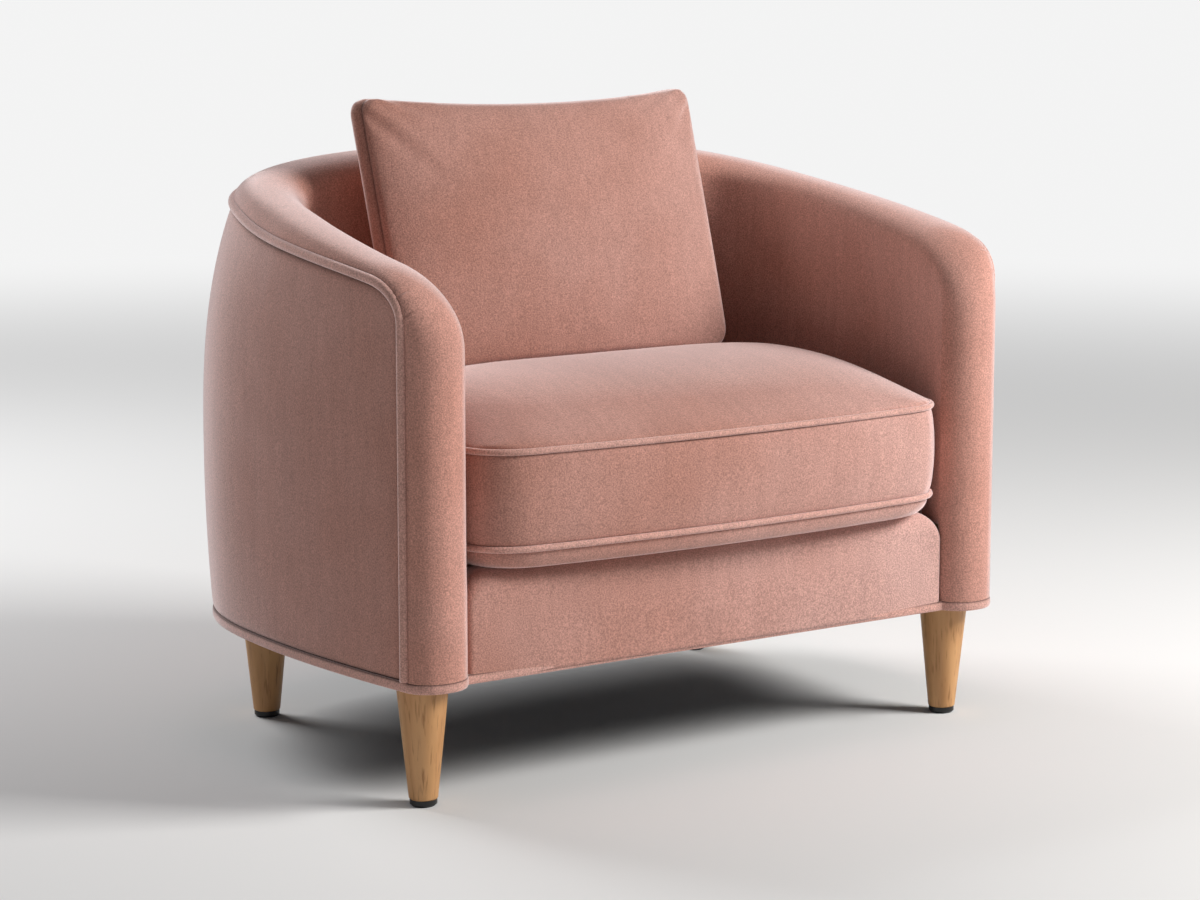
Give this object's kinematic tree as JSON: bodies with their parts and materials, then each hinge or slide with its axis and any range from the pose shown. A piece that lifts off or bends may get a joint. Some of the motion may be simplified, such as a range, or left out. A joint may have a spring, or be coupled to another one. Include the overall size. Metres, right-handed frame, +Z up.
{
  "type": "lounge chair",
  "caption": "Barrel-backed upholstered lounge chair with padded rolled arms, a loose seat cushion and a loose back cushion on tapered wooden legs.",
  "frame": {"origin": "on the floor, below the middle of the chair's bounding box", "axes": "+X across the chair, to the right as seen from the front, -Y towards the front, +Z up"},
  "size_m": [0.9198, 0.6969, 0.7891],
  "materials": {
    "velvet": "short-pile velvet",
    "foam": "open-cell foam",
    "fibre": "bonded fibre filling",
    "oak": "clear matt lacquer",
    "beech": "raw sawn",
    "plywood": "raw, laminated",
    "steel": "zinc plated",
    "black_plastic": "moulded",
    "lining": "spunbond cloth"
  },
  "bodies": {
    "shell": {"base_board": "plywood", "front_rail": "beech", "rear_rail": "beech", "side_rail_left": "beech", "side_rail_right": "beech", "corner_blocks": "beech", "arm_board_left": "plywood", "arm_board_right": "plywood", "rim_rail": "plywood", "shell_ribs": "plywood", "frame_screws": "steel", "springs": "steel", "spring_clips": "steel", "spring_tie_wires": "steel", "deck_cloth": "lining", "deck_pad": "foam", "roll_foam": "foam", "inner_foam": "foam", "front_foam": "foam", "outer_cover": "velvet", "roll_cover": "velvet", "inner_panel": "velvet", "front_panel": "velvet", "shell_piping": "velvet", "base_welt": "velvet", "dust_cover": "lining", "leg_front_left": "oak", "leg_front_right": "oak", "leg_rear_left": "oak", "leg_rear_right": "oak", "leg_plates": "steel", "hanger_bolts": "steel", "tee_nuts": "steel", "plate_screws": "steel", "glides": "black_plastic", "glide_nails": "steel"},
    "seat": {"seat_cushion": "velvet", "seat_core": "foam", "seat_piping_top": "velvet", "seat_piping_bottom": "velvet", "seat_zip": "black_plastic"},
    "seat_slider": {"seat_zip_slider": "steel"},
    "back": {"back_cushion": "velvet", "back_core": "fibre", "back_zip": "black_plastic"},
    "back_slider": {"back_zip_slider": "steel"}
  },
  "joints": [
    {"name": "seat_lift_out", "type": "slide", "parent": "shell", "child": "seat", "axis": [0, -1, 0], "range_m": [0, 0.4]},
    {"name": "back_lift_off", "type": "slide", "parent": "shell", "child": "back", "axis": [0, 0, 1], "range_m": [0, 0.3]},
    {"name": "seat_zip_pull", "type": "slide", "parent": "seat", "child": "seat_slider", "axis": [-1, 0, 0], "range_m": [0, 0.352]},
    {"name": "back_zip_pull", "type": "slide", "parent": "back", "child": "back_slider", "axis": [-1, 0, 0], "range_m": [0, 0.272]}
  ]
}
